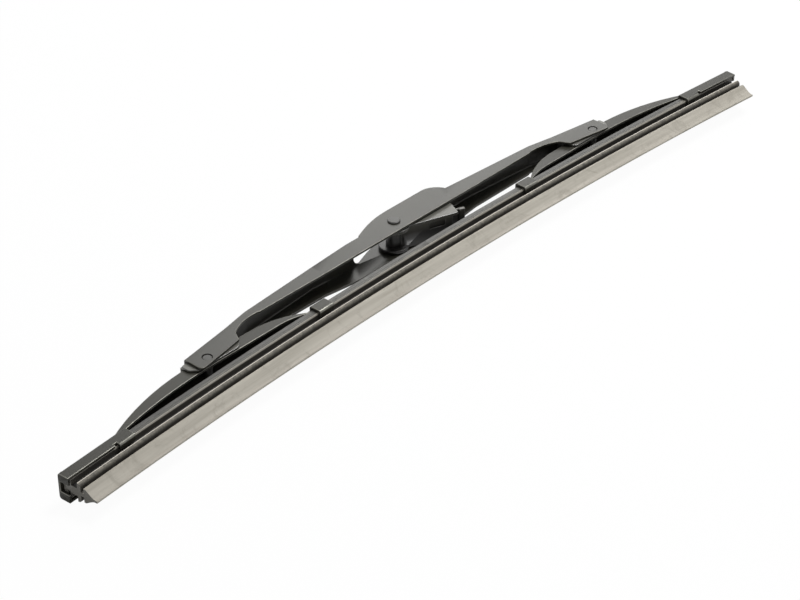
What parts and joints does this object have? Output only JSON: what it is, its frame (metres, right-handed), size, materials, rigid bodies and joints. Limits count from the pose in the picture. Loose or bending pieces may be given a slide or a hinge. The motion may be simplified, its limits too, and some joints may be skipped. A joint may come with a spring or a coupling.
{
  "type": "wiper blade",
  "caption": "Conventional wiper blade: pressed-steel bridge over swinging yokes that grip a bowed rubber refill, with a tilting clip for a hook-ended wiper arm.",
  "frame": {"origin": "centre of the blade's bounding box, at the height of the surface it lies on", "axes": "+X along the blade, -Y towards the wiping lip, +Z across the blade's width, up from the surface it lies on"},
  "size_m": [0.3648, 0.0444, 0.0141],
  "materials": {
    "bridge_paint": "satin black powder coat on pressed steel",
    "yoke_paint": "satin black powder coat on pressed steel",
    "rivet_steel": "satin black, painted over",
    "pin_steel": "blackened steel",
    "clip_plastic": "moulded black acetal",
    "liner_plastic": "moulded black acetal",
    "flexor_steel": "rolled stainless spring strip",
    "rubber": "graphite-dusted black rubber, dull"
  },
  "bodies": {
    "bridge": {"primary_bridge": "bridge_paint", "centre_rivet": "rivet_steel", "pivot_pin_left": "pin_steel", "pivot_pin_right": "pin_steel", "liner_left": "liner_plastic", "liner_right": "liner_plastic", "flexor_upper": "flexor_steel", "flexor_lower": "flexor_steel", "wiping_rubber": "rubber"},
    "yoke_left": {"yoke_left": "yoke_paint"},
    "yoke_right": {"yoke_right": "yoke_paint"},
    "clip": {"adapter_clip": "clip_plastic"}
  },
  "joints": [
    {"name": "yoke_left_pivot", "type": "hinge", "parent": "bridge", "child": "yoke_left", "pos_m": [-0.1062, 0.00438, 0.00705], "axis": [0, 0, -1], "range_deg": [-3, 3.5], "stiffness_Nm_per_rad": 1.5, "deforming": ["wiping_rubber", "flexor_upper", "flexor_lower"]},
    {"name": "yoke_right_pivot", "type": "hinge", "parent": "bridge", "child": "yoke_right", "pos_m": [0.1062, 0.00438, 0.00705], "axis": [0, 0, 1], "range_deg": [-3, 3.5], "stiffness_Nm_per_rad": 1.5, "deforming": ["wiping_rubber", "flexor_upper", "flexor_lower"]},
    {"name": "clip_pivot", "type": "hinge", "parent": "bridge", "child": "clip", "pos_m": [0, 0.01498, 0.00705], "axis": [0, 0, 1], "range_deg": [-4, 75]}
  ]
}
